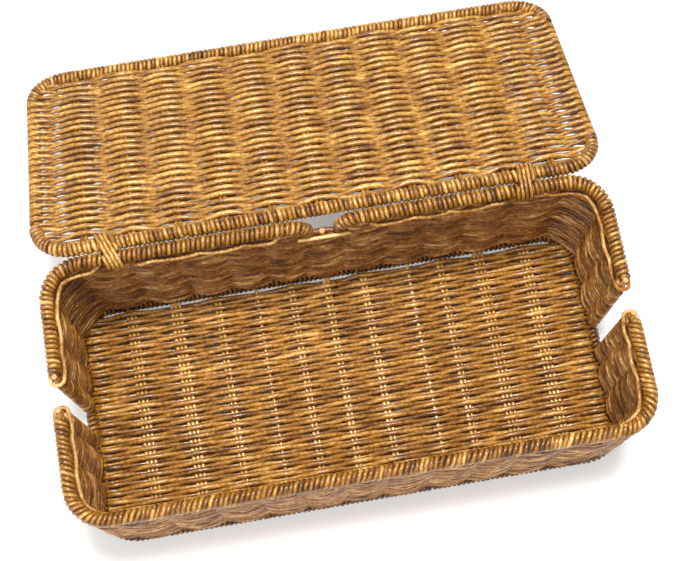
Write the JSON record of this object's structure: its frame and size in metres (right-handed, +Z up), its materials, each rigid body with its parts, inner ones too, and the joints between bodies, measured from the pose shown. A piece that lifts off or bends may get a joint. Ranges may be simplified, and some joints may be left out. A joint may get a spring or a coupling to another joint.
{
  "type": "woven cable management box",
  "caption": "Oblong woven cord basket with a lead slot in each short side, a notch in the back rim and a flat woven lid tied on with cord loops.",
  "frame": {"origin": "middle of the box's base, on the surface it stands on", "axes": "+X along the box's length to the right, +Y from its front to its back where the lid is tied, +Z up; the lid is stored open, hanging back from its ties"},
  "size_m": [0.3618, 0.3231, 0.111],
  "materials": {
    "weave_cord": "varnished, glossy",
    "rim_cord": "varnished, glossy",
    "stakes": "varnished, satin",
    "tie_cord": "varnished, glossy"
  },
  "bodies": {
    "box": {"bottom_hoop": "rim_cord", "base_sticks": "stakes", "base_weave": "weave_cord", "front_wall_stakes": "stakes", "back_wall_stakes": "stakes", "left_wall_stakes": "stakes", "right_wall_stakes": "stakes", "corner_stakes": "stakes", "slot_posts": "stakes", "front_wall_weave": "weave_cord", "back_wall_weave": "weave_cord", "corner_weave": "weave_cord", "left_front_wall_weave": "weave_cord", "left_back_wall_weave": "weave_cord", "right_front_wall_weave": "weave_cord", "right_back_wall_weave": "weave_cord", "front_rim": "rim_cord", "left_back_rim": "rim_cord", "right_back_rim": "rim_cord"},
    "hinge_ties": {"left_hinge_tie": "tie_cord", "right_hinge_tie": "tie_cord"},
    "lid": {"lid_rim": "rim_cord", "lid_stakes": "stakes", "lid_weave": "weave_cord"}
  },
  "joints": [
    {"name": "tie_swing", "type": "hinge", "parent": "box", "child": "hinge_ties", "pos_m": [0, 0.0793, 0.1034], "axis": [1, 0, 0], "range_deg": [0, 90]},
    {"name": "lid_turn", "type": "hinge", "parent": "hinge_ties", "child": "lid", "pos_m": [0, 0.0886, 0.1034], "axis": [1, 0, 0], "range_deg": [0, 114]}
  ]
}
